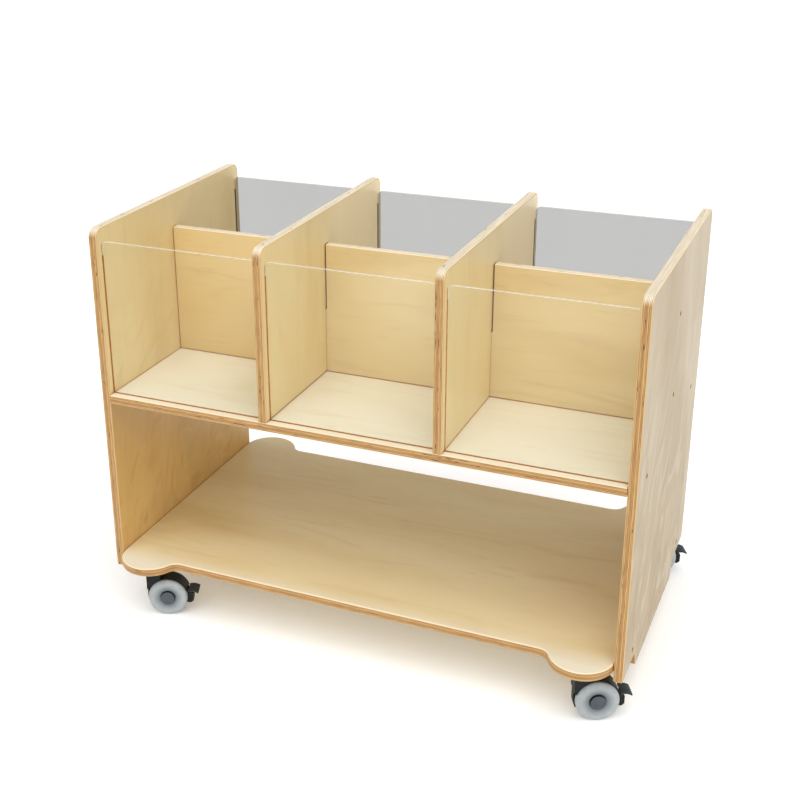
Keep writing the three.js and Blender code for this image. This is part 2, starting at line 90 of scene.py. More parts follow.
# Grooves and acrylic.
GROOVE_DEPTH = 0.005
GROOVE_TOP = 0.655
GROOVE_PLAY = 0.0003
ACRYLIC_CORNER = 0.009
ACRYLIC_SHOULDER = 0.6546
ACRYLIC_SIDE_GAP = 0.001
ACRYLIC_ARRIS = 0.0006
ACRYLIC_SHARP = 30

# Connector bolts.
BOLT_NUMBERS = range(1, 7)
BOLT_CHAMFER = 0.0005
BOLT_HEAD_RADIUS = 0.0042
BOLT_HEAD = 0.003
BOLT_SHANK_RADIUS = 0.0025
BOLT_RECESS = 0.0004
BOLT_HOLE_PLAY = 0.0004
HEX_RADIUS = 0.0023
HEX_DEPTH = 0.002
HEX_SIDES = 6
BOLT_STEPS = 40

# Casters, in a frame on the floor under the swivel axis with +X towards the pedal.
WHEEL_STEPS = 96
TRAIL = 0.026
AXLE_HEIGHT = 0.0343
WHEEL_OFFSET = 0.0127
HOOD_INNER = 0.0349
HOOD_OUTER = 0.0365
HOOD_HALF_WIDTH = 0.0135
HOOD_END = 18
HOOD_FRONT = 160
HOOD_LIP = 0.004
HOOD_STEPS = 32
HOOD_INNER_STEPS = 40
WEB_HALF_WIDTH = 0.0062
WEB_END = 205
WEB_STEPS = 8
NECK_TOP = 0.0946
NECK_BACK = 0.014
TAIL_HALF_WIDTH = 0.008
TAIL_TOP = 0.040
TAIL_BOTTOM_ANGLE = -24
TAIL_STEPS = 10
TAIL_CORNERS = [(0.0655, 0.0196), (0.070, 0.0235), (0.070, 0.037), (0.0675, TAIL_TOP)]
PEDAL_SLOT = ((0.0595, 0.0315), (0.072, 0.050))
KINGPIN_HOLE = 0.0054
KINGPIN_HOLE_BOTTOM = 0.065
AXLE_HOLE = 0.0033
AXLE_RADIUS = 0.003
AXLE_HALF_LENGTH = 0.0136
AXLE_CHAMFER = 0.0004
KINGPIN_RADIUS = 0.005
FLANGE_RADIUS = 0.014
FLANGE_ABOVE_NECK = 0.0006
SHANK_RADIUS = 0.004
STEM_CHAMFER = 0.0005
AXLE_STEPS = 40
STEM_STEPS = 48
PEDAL_HINGE = (0.0645, 0.037)
PEDAL_HALF_WIDTH = 0.0134
PEDAL_THICKNESS = 0.0022
PEDAL_SPINE = [(0.062, 0.0449), (0.066, 0.0457), (0.071, 0.0457), (0.076, 0.0442), (0.080, 0.042)]
PEDAL_STEPS = 8
LUG_HALF_WIDTH = 0.004
LUG_PLAY = 0.0004
LUG_CORNERS = [(-0.0026, -0.002), (0.0026, -0.002), (0.005, 0.0084), (-0.002, 0.0082)]
TRUNNION_RADIUS = 0.0018
TRUNNION_REACH = 0.0076
MOULDED_ROUND = 0.0004
CUT_PAST = 0.002

# Wheels and hub caps, turned about the axle. A wheel's height is along the axle from its middle plane;
# its section and a hub cap's rim are (in from the largest radius, height) and (in, down from the top).
WHEEL_HALF_WIDTH = 0.006
WHEEL_BORE = 0.0034
WHEEL_SHOULDER = 0.002
WHEEL_SHOULDER_STEPS = 5
WHEEL_SECTION = [(0, 0.0008), (0.0006, 0.0026), (0.0019, 0.0042), (0.0040, 0.0053),
                 (0.0066, WHEEL_HALF_WIDTH), (0.0095, 0.0059), (0.0125, 0.0052), (0.0155, 0.0043)]
SEAT_RADIUS = 0.0131
SEAT_RIM = 0.0034
SEAT_CHAMFER = (0.0006, 0.0005)
SEAT_DEPTH = 0.0046
HUB_CAP_RADIUS = 0.0127
HUB_CAP_THICKNESS = 0.0054
HUB_CAP_OFFSET = 0.0018
HUB_CAP_RIM = [(0, 0.0012), (0.0004, 0.0005), (0.0014, 0), (0.0026, 0), (0.0032, 0.0003)]
# The cap's side and lower bevel take black plastic as painted shade.
HUB_CAP_SHADE_SLOTS = [0, 1, 1, 0, 0, 0, 0]
HUB_CAP_SHARP = 50

# Camera, light and floor. Angles are in degrees, and the lens is for a 36 mm sensor.
CAMERA_PLACE = (0.7415, -1.9067, 1.2853)
CAMERA_YAW = 24.75
CAMERA_PITCH = 22.13
CAMERA_ROLL = -1.05
CAMERA_LENS = 58.61
CAMERA_SHIFT = (0.0875, -0.05)
SENSOR_WIDTH = 36
STUDIO_LIGHT = 0.5
FLOOR_REACH = 30
FLOOR_CORNERS = ((-1, -1), (1, -1), (1, 1), (-1, 1))
FLOOR_GLOW = 0.14


# ---------------------------------------------------------------- meshes

ALONG_X = Matrix(((0, 0, 1), (1, 0, 0), (0, 1, 0)))    # outline in Y and Z, thickness along +X
ALONG_Y = Matrix(((1, 0, 0), (0, 0, -1), (0, 1, 0)))   # outline in X and Z, thickness along -Y
ALONG_Z = Matrix.Identity(3)                           # outline in X and Y, thickness along +Z
SHARPEST_MITRE = 0.35                                  # cosine that keeps an inset corner in bounds


def new_object(name, bm, materials):
    """Turns a bmesh into an object with its materials, linked to the scene."""
    bmesh.ops.recalc_face_normals(bm, faces=bm.faces)
    mesh = bpy.data.meshes.new(name)
    bm.to_mesh(mesh)
    bm.free()
    made = bpy.data.objects.new(name, mesh)
    bpy.context.scene.collection.objects.link(made)
    for material in materials:
        mesh.materials.append(material)
    return made


def arc(centre, radius, start, end, steps):
    """Points on an arc in degrees, both ends included."""
    points = []
    for i in range(steps + 1):
        angle = math.radians(start + (end - start) * i / steps)
        across, up = radius * math.cos(angle), radius * math.sin(angle)
        points.append(Vector((centre[0] + across, centre[1] + up)))
    return points


def inset_outline(outline, inset):
    """The anticlockwise outline moved inwards, each corner along its mitre."""
    moved = []
    for i, here in enumerate(outline):
        arriving = (here - outline[i - 1]).normalized()
        leaving = (outline[(i + 1) % len(outline)] - here).normalized()
        inward = Vector((-arriving.y, arriving.x))
        mitre = (inward + Vector((-leaving.y, leaving.x))).normalized()
        moved.append(here + mitre * (inset / max(mitre.dot(inward), SHARPEST_MITRE)))
    return moved


def slab(name, outline, thickness, edge_round, basis, origin, materials):
    """A board of an outline with rounded arrises; its faces use slot 0 and its edges slot 1."""
    outline = [Vector(point) for point in outline]
    turns = [math.pi / 2]
    if edge_round:
        turns = [math.pi / 2 * i / ROUND_STEPS for i in range(ROUND_STEPS + 1)]
    rings = [(edge_round * (1 - math.sin(t)), edge_round * (1 - math.cos(t))) for t in turns]
    rings += [(inset, thickness - height) for inset, height in reversed(rings)]
    bm = bmesh.new()
    loops = []
    for inset, height in rings:
        loop = []
        for point in inset_outline(outline, inset):
            loop.append(bm.verts.new(basis @ Vector((point.x, point.y, height)) + Vector(origin)))
        loops.append(loop)
    count = len(outline)
    for lower, upper in zip(loops, loops[1:]):
        for i in range(count):
            j = (i + 1) % count
            face = bm.faces.new((lower[i], lower[j], upper[j], upper[i]))
            face.material_index = 1 if len(materials) > 1 else 0
    bm.faces.new(list(reversed(loops[0])))
    bm.faces.new(loops[-1])
    return new_object(name, bm, materials)


def turned(name, profile, steps, materials, ring_slots=None):
    """A turned solid around +Z from (radius, height) points, which start and end on the axis or
    close up. Its vertices keep their radius in an attribute, for paint that changes with it."""
    bm = bmesh.new()
    reach = bm.verts.layers.float.new("radius")
    on_axis = profile[0][0] == 0
    rings = []
    for radius, height in profile:
        if radius == 0:
            rings.append([bm.verts.new((0, 0, height))])
            continue
        ring = []
        for i in range(steps):
            angle = 2 * math.pi * i / steps
            ring.append(bm.verts.new((radius * math.cos(angle), radius * math.sin(angle), height)))
            ring[-1][reach] = radius
        rings.append(ring)
    pairs = list(zip(rings, rings[1:]))
    if not on_axis:
        pairs.append((rings[-1], rings[0]))
    for k, (first, second) in enumerate(pairs):
        for i in range(steps):
            j = (i + 1) % steps
            corners = [first[i % len(first)], first[j % len(first)]]
            corners += [second[j % len(second)], second[i % len(second)]]
            face = bm.faces.new(list(dict.fromkeys(corners)))
            face.material_index = ring_slots[k] if ring_slots else 0
    return new_object(name, bm, materials)


def block(bm, low, high):
    """Adds a closed box to a bmesh."""
    made = bmesh.ops.create_cube(bm, size=1)
    size = [high[k] - low[k] for k in range(3)]
    middle = [(high[k] + low[k]) / 2 for k in range(3)]
    for vert in made["verts"]:
        vert.co = Vector([vert.co[k] * size[k] + middle[k] for k in range(3)])


def rod(bm, axis, radius, start, end, centre, steps=24):
    """Adds a closed rod along X, Y or Z to a bmesh."""
    made = bmesh.ops.create_cone(
        bm, cap_ends=True, segments=steps, radius1=radius, radius2=radius, depth=end - start)
    turn = Matrix.Identity(3)
    if axis == "x":
        turn = Matrix.Rotation(math.pi / 2, 3, "Y")
    elif axis == "y":
        turn = Matrix.Rotation(math.pi / 2, 3, "X")
    along = Vector([1.0 if axis == k else 0.0 for k in "xyz"])
    for vert in made["verts"]:
        vert.co = turn @ vert.co + Vector(centre) + along * (start + end) / 2


def settle(piece):
    """Writes the modifiers of a piece into its mesh."""
    bpy.context.view_layer.update()
    evaluated = piece.evaluated_get(bpy.context.evaluated_depsgraph_get())
    mesh = bpy.data.meshes.new_from_object(evaluated)
    piece.modifiers.clear()
    piece.data = mesh


def cut(piece, bm, material=None, operation="DIFFERENCE"):
    """Cuts the closed boxes and rods of a bmesh out of a piece, or joins them to it."""
    tool = new_object("tool", bm, [material] if material else [])
    change = piece.modifiers.new("cut", "BOOLEAN")
    change.operation = operation
    change.solver = "EXACT"
    change.object = tool
    if material:
        change.material_mode = "TRANSFER"
    settle(piece)
    bpy.data.objects.remove(tool)


def join_to(piece, other):
    """Joins another closed piece to a piece as one solid."""
    change = piece.modifiers.new("join", "BOOLEAN")
    change.operation = "UNION"
    change.solver = "EXACT"
    change.object = other
    settle(piece)
    bpy.data.objects.remove(other)


def smooth(piece, sharp_degrees=35, rounding=0.0):
    """Shades a piece smoothly but for its sharp edges, which can be rounded off first."""
    if rounding:
        bevel = piece.modifiers.new("rounding", "BEVEL")
        bevel.width = rounding
        bevel.segments = 3
        bevel.limit_method = "ANGLE"
        bevel.angle_limit = math.radians(sharp_degrees)
        bevel.use_clamp_overlap = True
        settle(piece)
    piece.data.polygons.foreach_set("use_smooth", [True] * len(piece.data.polygons))
    piece.data.set_sharp_from_angle(angle=math.radians(sharp_degrees))
    weighted = piece.modifiers.new("flat faces stay flat", "WEIGHTED_NORMAL")
    weighted.keep_sharp = True
    weighted.weight = 100


def stand_for(piece, node, body="cart_body"):
    """The piece takes a CAD node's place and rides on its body."""
    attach(piece, body)
    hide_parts(node)


# ---------------------------------------------------------------- materials

def srgb(red, green, blue):
    """A colour given as 0 to 255 display values, as a linear RGBA."""
    def linear(value):
        value /= 255
        return value / 12.92 if value <= 0.04045 else ((value + 0.055) / 1.055) ** 2.4
    return (linear(red), linear(green), linear(blue), 1.0)


class Paint:
    """A Principled material under construction. Its methods add nodes and return their outputs."""

    def __init__(self, name, **sockets):
        self.material = bpy.data.materials.new(name)
        self.material.use_nodes = True
        self.nodes = self.material.node_tree.nodes
        self.links = self.material.node_tree.links
        self.shader = self.nodes["Principled BSDF"]
        for socket, value in sockets.items():
            self.shader.inputs[socket.replace("_", " ")].default_value = value
        self.place = self.nodes.new("ShaderNodeTexCoord").outputs["Object"]

    def feed(self, socket, value):
        if isinstance(value, bpy.types.NodeSocket):
            self.links.new(value, socket)
        else:
            socket.default_value = value

    def node(self, kind, values=(), **settings):
        made = self.nodes.new(kind)
        for key, value in settings.items():
            setattr(made, key, value)
        for key, value in dict(values).items():
            self.feed(made.inputs[key], value)
        return made

    def part(self, axis, vector=None):
        """The X, Y or Z of a vector, or of the object's own coordinates."""
        made = self.node("ShaderNodeSeparateXYZ", {"Vector": vector or self.place})
        return made.outputs["XYZ".index(axis.upper())]

    def scaled(self, x, y, z, shift=(0, 0, 0), lean=0.0):
        """The object's own coordinates, leaned about X in degrees, then scaled and shifted."""
        turn = {"Vector": self.place, "Angle": math.radians(lean)}
        leaned = self.node("ShaderNodeVectorRotate", turn, rotation_type="X_AXIS").outputs[0]
        placing = {"Vector": leaned, "Scale": (x, y, z), "Location": shift}
        return self.node("ShaderNodeMapping", placing).outputs[0]

    def noise(self, place, scale=1.0, detail=3.0, distortion=0.0):
        made = self.node("ShaderNodeTexNoise", {
            "Vector": place, "Scale": scale, "Detail": detail, "Distortion": distortion})
        return made.outputs[0]

    def ramp(self, value, *stops):
        """A colour ramp through (position, colour or grey level) stops."""
        made = self.node("ShaderNodeValToRGB", {"Fac": value})
        elements = made.color_ramp.elements
        while len(elements) < len(stops):
            elements.new(0.5)
        for element, (position, colour) in zip(elements, sorted(stops, key=lambda stop: stop[0])):
            element.position = position
            is_grey = isinstance(colour, (int, float))
            element.color = (colour, colour, colour, 1) if is_grey else colour
        return made.outputs[0]

    def math(self, operation, *values):
        made = self.nodes.new("ShaderNodeMath")
        made.operation = operation
        for socket, value in zip(made.inputs, values):
            self.feed(socket, value)
        return made.outputs[0]

    def mix(self, factor, first, second, blend="MIX"):
        """A mix of two colours. The Mix node takes colours at inputs 6 and 7, and gives one at 2."""
        made = self.node("ShaderNodeMix", data_type="RGBA", blend_type=blend)
        for index, value in ((0, factor), (6, first), (7, second)):
            self.feed(made.inputs[index], value)
        return made.outputs[2]

    def seamed_with_shade(self, colour):
        """The colour turned brown where another surface is near, by ambient occlusion: painted shade
        in corners and gaps, and a thin line at each joint that is partly a dark joint and partly
        painted shade.
        """
        # Painted shade: near other surfaces the colour turns brown.
        near = self.node("ShaderNodeAmbientOcclusion", {"Distance": SEAM_SHADE_REACH}, samples=SEAM_SHADE_SAMPLES)
        line = self.ramp(near.outputs["AO"], (0.15, 0.95), (0.38, 0.8), (0.52, 0.3), (0.74, 0.0))
        return self.mix(line, colour, SEAM_SHADE_BROWN)

    def colour(self, value):
        self.feed(self.shader.inputs["Base Color"], value)

    def roughness(self, value):
        self.feed(self.shader.inputs["Roughness"], value)

    def bump(self, height, strength, distance):
        relief = {"Height": height, "Strength": strength, "Distance": distance}
        self.feed(self.shader.inputs["Normal"], self.node("ShaderNodeBump", relief).outputs[0])


def stretched(axis, on_axis, off_axis):
    """A scale per axis: one for the named axis, and another for the other two."""
    return [on_axis if each == axis else off_axis for each in "xyz"]


# Noise in birch veneer, as its scale along the grain and across it.
PATCHES = (1.8, 5.0)
WAVES = (4.0, 30)
FLAMES = (7.5, 15)
FLECKS = (16, 190)
FIBRES = (30, 700)
FLAME_LEAN = 28

# Noise in a cut plywood edge, as its scale through the board and along the edge.
EDGE_STREAKS = (700, 38)
GLUE_BREAKS = (560, 16)
EDGE_VOIDS = (430, 44)
PLY_LAYERS = 7
LAYER_WOBBLE = 0.0012

# Painted shade and light, dark joint lines, and tones of the veneer.
# Reach, samples and brown of the painted shade at joints, corners and gaps.
SEAM_SHADE_REACH = 0.004
SEAM_SHADE_SAMPLES = 8
SEAM_SHADE_BROWN = srgb(206, 144, 64)
# Distance over which the painted light fades in.
PAINTED_LIGHT_FADE = 0.05
# Depth under the middle shelf over which its painted shadow fades out.
SHELF_SHADE_DROP = 0.22
FLAME_PALE = srgb(204, 190, 156)
# Painted shade in the gap where a divider stands in the board's slot.
LAP_GAP_SHADE = srgb(128, 72, 28)
# Painted light on the bottom shelf's ears.
EAR_PAINTED_LIGHT = srgb(226, 220, 203)
# Painted light behind the board.
REAR_PAINTED_LIGHT = srgb(248, 228, 184)
# Painted shade: a warm tint for the bounce light under the middle shelf, and a deeper painted shadow
# just under it.
WARM_SHADE = (0.94, 0.76, 0.52, 1.0)
DEEP_SHADE = (0.72, 0.67, 0.58, 1.0)
GOLDEN_SHADE = (0.97, 0.90, 0.76, 1.0)


def birch_face(name, grain, tones, figure, flame, shift, shaded_below=None, warm_left=None,
               painted_light_beyond=None, painted_light_behind=None, shaded_strip=None):
    """Lacquered birch veneer: tone patches, a flamed figure, flecks, fibre, and brown joints with
    painted shade in corners and gaps.
    Painted shade makes it warmer and darker below the height `shaded_below`, most of all just under
    it; it is also warmer left of `warm_left`.
    It is paler in front of the depth `painted_light_beyond`, and behind `painted_light_behind`, as
    painted light.
    `shaded_strip` is the lowest and the highest (Y, Z) of a strip painted dark brown, painted shade in
    the gap of a joint."""
    paint = Paint(name, IOR=1.5, Coat_Weight=0.1, Coat_Roughness=0.22)
    pale, middle, deep, brown = tones
    patches = paint.noise(paint.scaled(*stretched(grain, *PATCHES), shift), 1.0, 4.0, 0.8)
    colour = paint.ramp(patches, (0.34, pale), (0.52, middle), (0.70, deep))
    waves = paint.noise(paint.scaled(*stretched(grain, *WAVES), shift), 1.0, 4.0, 1.6)
    colour = paint.mix(paint.ramp(waves, (0.55, 0.0), (0.74, figure)), colour, brown)
    colour = paint.mix(paint.ramp(waves, (0.28, figure), (0.45, 0.0)), colour, pale)
    if flame:
        low = paint.ramp(paint.part("z"), (0.10, flame), (0.62, flame * 0.2))
        leaning = paint.scaled(*stretched(grain, *FLAMES), shift, FLAME_LEAN)
        clouds = paint.noise(leaning, 1.0, 5.0, 1.8)
        dark = paint.math("MULTIPLY", paint.ramp(clouds, (0.52, 0.0), (0.66, 1.0)), low)
        light = paint.math("MULTIPLY", paint.ramp(clouds, (0.36, 1.0), (0.48, 0.0)), low)
        colour = paint.mix(dark, colour, brown)
        colour = paint.mix(light, colour, FLAME_PALE)
    # Painted shade below the middle shelf, with a painted shadow just under it.
    if shaded_below:
        height = paint.part("z")
        under = paint.math("LESS_THAN", height, shaded_below)
        colour = paint.mix(under, colour, WARM_SHADE, "MULTIPLY")
        drop = paint.math("SUBTRACT", shaded_below, height)
        close = paint.math("MULTIPLY", under, paint.ramp(drop, (0.0, 1.0), (SHELF_SHADE_DROP, 0.0)))
        colour = paint.mix(close, colour, DEEP_SHADE, "MULTIPLY")
    if warm_left:
        beside = paint.math("LESS_THAN", paint.part("x"), warm_left)
        colour = paint.mix(beside, colour, GOLDEN_SHADE, "MULTIPLY")
    # Painted light: paler in front of a depth.
    if painted_light_beyond:
        reach = paint.math("SUBTRACT", painted_light_beyond, paint.part("y"))
        colour = paint.mix(paint.ramp(reach, (0.0, 0.0), (PAINTED_LIGHT_FADE, 0.8)), colour, EAR_PAINTED_LIGHT)
    # Painted light: paler behind a depth.
    if painted_light_behind:
        reach = paint.math("SUBTRACT", paint.part("y"), painted_light_behind)
        colour = paint.mix(paint.ramp(reach, (0.0, 0.0), (PAINTED_LIGHT_FADE, 0.75)), colour, REAR_PAINTED_LIGHT)
    # Painted shade: a dark brown strip in the gap of a joint.
    if shaded_strip:
        strip = 1.0
        for axis, least, most in zip("yz", *shaded_strip):
            value = paint.part(axis)
            strip = paint.math("MULTIPLY", strip, paint.math("GREATER_THAN", value, least))
            strip = paint.math("MULTIPLY", strip, paint.math("LESS_THAN", value, most))
        colour = paint.mix(strip, colour, LAP_GAP_SHADE)
    flecks = paint.noise(paint.scaled(*stretched(grain, *FLECKS), shift), 1.0, 2.0, 0.3)
    colour = paint.mix(paint.ramp(flecks, (0.66, 0.0), (0.80, 0.25)), colour, brown)
    paint.colour(paint.seamed_with_shade(colour))
    paint.roughness(paint.ramp(patches, (0.3, 0.34), (0.75, 0.46)))
    paint.bump(paint.noise(paint.scaled(*stretched(grain, *FIBRES), shift), 1.0, 3.0), 0.06, 0.0002)
    return paint.material


def birch_edge(name, axis, start, thickness, voids=0.71):
    """Cut edge of birch plywood: layers, glue lines that come and go, streaks and dark voids.
    The face veneers show at both arrises, and edges that face up are paler, a painted highlight of the
    light from above. `voids` is the noise level past which there is a hole, so a higher one makes
    fewer."""
    paint = Paint(name, IOR=1.5, Coat_Weight=0.1, Coat_Roughness=0.25)
    wander = paint.math("SUBTRACT", paint.noise(paint.place, 24, 2.0), 0.5)
    wobble = paint.math("MULTIPLY", wander, LAYER_WOBBLE)
    inward = paint.math("SUBTRACT", paint.part(axis), start)
    depth = paint.math("DIVIDE", paint.math("ADD", inward, wobble), thickness)
    layers = paint.math("MULTIPLY", depth, PLY_LAYERS)
    layer = paint.math("FLOOR", layers)
    within = paint.math("ABSOLUTE", paint.math("SUBTRACT", paint.math("FRACT", layers), 0.5))
    off_centre = paint.math("ABSOLUTE", paint.math("SUBTRACT", depth, 0.5))
    lit_from_above = paint.part("z", paint.node("ShaderNodeTexCoord").outputs["Normal"])

    tone = paint.node("ShaderNodeTexWhiteNoise", {"W": layer}, noise_dimensions="1D").outputs[0]
    colour = paint.mix(tone, PLY_LIGHT, PLY_TAN)
    streak = paint.noise(paint.scaled(*stretched(axis, *EDGE_STREAKS)), 1.0, 4.0)
    colour = paint.mix(paint.ramp(streak, (0.42, 0.0), (0.75, 0.6)), colour, PLY_BROWN)
    # Painted highlight: edges that face up are paler.
    colour = paint.mix(paint.ramp(lit_from_above, (0.15, 0.0), (0.75, 0.72)), colour, PLY_TOP_HIGHLIGHT)
    breaks = paint.noise(paint.scaled(*stretched(axis, *GLUE_BREAKS)), 1.0, 2.0)
    strength = paint.ramp(breaks, (0.32, 0.15), (0.55, 1.0))
    glue = paint.math("MULTIPLY", paint.ramp(within, (0.30, 0.0), (0.42, 0.9)), strength)
    colour = paint.mix(glue, colour, PLY_BROWN)
    # The veneers at the arrises also take the painted highlight where they face up.
    veneer = paint.mix(paint.ramp(lit_from_above, (0.15, 0.0), (0.75, 0.55)), PLY_VENEER, PLY_TOP_HIGHLIGHT)
    colour = paint.mix(paint.ramp(off_centre, (0.37, 0.0), (0.43, 0.9)), colour, veneer)
    holes = paint.noise(paint.scaled(*stretched(axis, *EDGE_VOIDS)), 1.0, 1.0)
    holes = paint.ramp(holes, (voids, 0.0), (voids + 0.03, 1.0))
    holes = paint.math("MULTIPLY", holes, paint.ramp(off_centre, (0.36, 1.0), (0.40, 0.0)))
    colour = paint.mix(holes, colour, PLY_VOID)

    paint.colour(paint.seamed_with_shade(colour))
    paint.roughness(paint.ramp(streak, (0.3, 0.42), (0.8, 0.58)))
    paint.bump(paint.math("SUBTRACT", streak, paint.math("MULTIPLY", holes, 2.0)), 0.15, 0.0003)
    return paint.material


def raw_wood(name):
    """Unfinished wood inside grooves, slots and bolt holes, painted a brighter orange than bare wood
    as painted light in those dim hollows.
    """
    paint = Paint(name, IOR=1.45)
    grain = paint.noise(paint.scaled(400, 400, 90), 1.0, 4.0)
    # Brighter than bare wood: painted light in the dim grooves and holes.
    paint.colour(paint.ramp(grain, (0.3, srgb(196, 126, 58)), (0.7, srgb(224, 156, 82))))
    paint.roughness(paint.ramp(grain, (0.3, 0.7), (0.7, 0.85)))
    paint.bump(grain, 0.3, 0.0003)
    return paint.material


def acrylic(name, tint, body, veil, roughness, bright_above=None):
    """Polished acrylic: light passes through each face tinted, under a veil of gloss and faint
    smudges. `veil` is the least and the most of it. A cut edge only catches the light above
    `bright_above`, the top of the groove that it sits in."""
    paint = Paint(name, Base_Color=body, IOR=1.49)
    smudge = paint.noise(paint.place, 7, 3.0, 0.5)
    paint.roughness(paint.ramp(smudge, (0.35, roughness), (0.7, roughness + 0.05)))
    amount = paint.ramp(smudge, (0.35, veil[0]), (0.7, veil[1]))
    if bright_above:
        above = paint.math("GREATER_THAN", paint.part("z"), bright_above)
        amount = paint.math("MULTIPLY", amount, above)
    through = paint.node("ShaderNodeBsdfTransparent", {"Color": tint})
    veiled = {0: amount, 1: through.outputs[0], 2: paint.shader.outputs[0]}
    surface = paint.node("ShaderNodeMixShader", veiled)
    paint.feed(paint.nodes["Material Output"].inputs["Surface"], surface.outputs[0])
    return paint.material


def moulded(name, dark, light, roughness, grain_scale=2600, hollow=None, shine=0.5):
    """Moulded plastic with a fine leathery texture. `hollow` is painted shade that deepens from an
    outer radius in to an inner one, on a turned piece, for a dished face."""
    paint = Paint(name, IOR=1.5, Specular_IOR_Level=shine)
    texture = paint.noise(paint.place, grain_scale, 3.0)
    patch = paint.noise(paint.place, 90, 3.0)
    colour = paint.ramp(patch, (0.3, dark), (0.7, light))
    # Painted shade that deepens towards the inner radius.
    if hollow:
        shade, inner, outer = hollow
        radius = paint.node("ShaderNodeAttribute", attribute_name="radius").outputs["Fac"]
        reach = paint.math("DIVIDE", paint.math("SUBTRACT", radius, inner), outer - inner)
        colour = paint.mix(paint.ramp(reach, (0.0, 1.0), (0.55, 0.45), (1.0, 0.0)), colour, shade)
    paint.colour(colour)
    paint.roughness(paint.ramp(texture, (0.3, roughness - 0.06), (0.7, roughness + 0.08)))
    paint.bump(texture, 0.12, 0.0001)
    return paint.material


def metal(name, dark, light, roughness):
    """Plated or blackened steel with turning marks."""
    paint = Paint(name, Metallic=1.0)
    marks = paint.noise(paint.scaled(900, 900, 4200), 1.0, 3.0)
    paint.colour(paint.ramp(marks, (0.3, dark), (0.7, light)))
    paint.roughness(paint.ramp(marks, (0.3, roughness), (0.7, roughness + 0.15)))
    paint.bump(marks, 0.08, 0.0001)
    return paint.material


# Veneer tones: pale, middle, deep and brown.
CREAM = (srgb(230, 223, 202), srgb(226, 218, 195), srgb(219, 208, 180), srgb(198, 174, 130))
TAWNY = (srgb(225, 206, 163), srgb(220, 198, 151), srgb(210, 184, 134), srgb(172, 138, 88))
HONEY = (srgb(233, 213, 163), srgb(229, 207, 154), srgb(220, 196, 138), srgb(194, 158, 100))
AMBER = (srgb(231, 210, 163), srgb(226, 203, 152), srgb(215, 188, 132), srgb(184, 151, 94))
# Outer face: its greyer tone is partly a painted sheen of grazing light.
GREIGE_WITH_SHEEN = (srgb(182, 161, 119), srgb(176, 153, 110), srgb(169, 144, 100), srgb(147, 118, 76))

# Cut plywood edges.
PLY_LIGHT = srgb(212, 172, 108)
PLY_TAN = srgb(182, 134, 72)
PLY_BROWN = srgb(126, 78, 36)
PLY_VOID = srgb(58, 26, 12)
PLY_VENEER = srgb(216, 182, 124)
# Painted highlight on edges that face up.
PLY_TOP_HIGHLIGHT = srgb(253, 247, 224)

groove_wood = raw_wood("groove_wood")
clear_sheet = acrylic("clear_acrylic", tint=(0.99, 1.0, 1.0, 1), body=(0.85, 0.88, 0.88, 1),
                      veil=(0.012, 0.022), roughness=0.02)
clear_edge = acrylic("clear_acrylic_edge", tint=(0.96, 0.96, 0.95, 1), body=(0.84, 0.84, 0.82, 1),
                     veil=(0.42, 0.54), roughness=0.15, bright_above=GROOVE_TOP)
grey_sheet = acrylic("grey_acrylic", tint=(0.685, 0.685, 0.68, 1), body=(0.30, 0.30, 0.31, 1),
                     veil=(0.045, 0.055), roughness=0.03)
grey_edge = acrylic("grey_acrylic_edge", tint=(0.97, 0.97, 0.96, 1), body=(0.70, 0.70, 0.70, 1),
                    veil=(0.3, 0.4), roughness=0.15, bright_above=GROOVE_TOP)
black_plastic = moulded("black_plastic", srgb(16, 18, 19), srgb(27, 30, 30), 0.5, shine=0.25)
pedal_plastic = moulded("pedal_plastic", srgb(34, 43, 48), srgb(50, 60, 66), 0.45, shine=0.35)
slate_plastic = moulded("slate_plastic", srgb(60, 69, 77), srgb(72, 82, 90), 0.38)
# The tyre's face carries painted shade deepening towards the hub.
tyre_rubber = moulded("tyre_rubber", srgb(160, 167, 169), srgb(174, 180, 181), 0.42, grain_scale=1500,
                      hollow=(srgb(112, 119, 123), 0.0135, 0.0262))
black_steel = metal("black_steel", srgb(52, 46, 40), srgb(84, 76, 66), 0.45)
zinc = metal("zinc", srgb(160, 165, 168), srgb(190, 194, 196), 0.28)


# ---------------------------------------------------------------- plywood body

def panel_outline(half, bottom, top, corner):
    """A rectangle with rounded upper corners, anticlockwise from its lower left corner."""
    points = [Vector((-half, bottom)), Vector((half, bottom))]
    points += arc((half - corner, top - corner), corner, 0, 90, CORNER_STEPS)
    points += arc((-half + corner, top - corner), corner, 90, 180, CORNER_STEPS)
    return points


def curve_up(start, bend, end):
    """A bend from start to end that aims at the point between them, without its start."""
    points = []
    for i in range(1, STEP_STEPS + 1):
        t = i / STEP_STEPS
        points.append(start * (1 - t) ** 2 + bend * (2 * t * (1 - t)) + end * t ** 2)
    return points


def side_panel_outline(half, bottom, top):
    """A side panel: a foot in the middle, both lower ends raised over the casters."""
    rise = Vector(FOOT_RISE)
    right = [Vector((FOOT_HALF, bottom)), rise]
    right += curve_up(rise, Vector(STEP_BEND), Vector(STEP_END)) + [Vector((half, RAISED_Z))]
    left = [Vector((-p.x, p.y)) for p in reversed(right)]
    top_arcs = panel_outline(half, RAISED_Z, top, PANEL_CORNER)[2:]
    return right + top_arcs + left


outward = {"left": -1, "right": 1}
veneer_shift = {"left": (0.3, 0, 0), "right": (4.1, 0, 0)}
outer_veneer_shift = {"left": (2.7, 0, 0), "right": (6.2, 0, 0)}

groove_y = {}
for row in ("front", "rear"):
    low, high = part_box(f"{row}_acrylic_middle")
    groove_y[row] = (low.y - GROOVE_PLAY, high.y + GROOVE_PLAY)


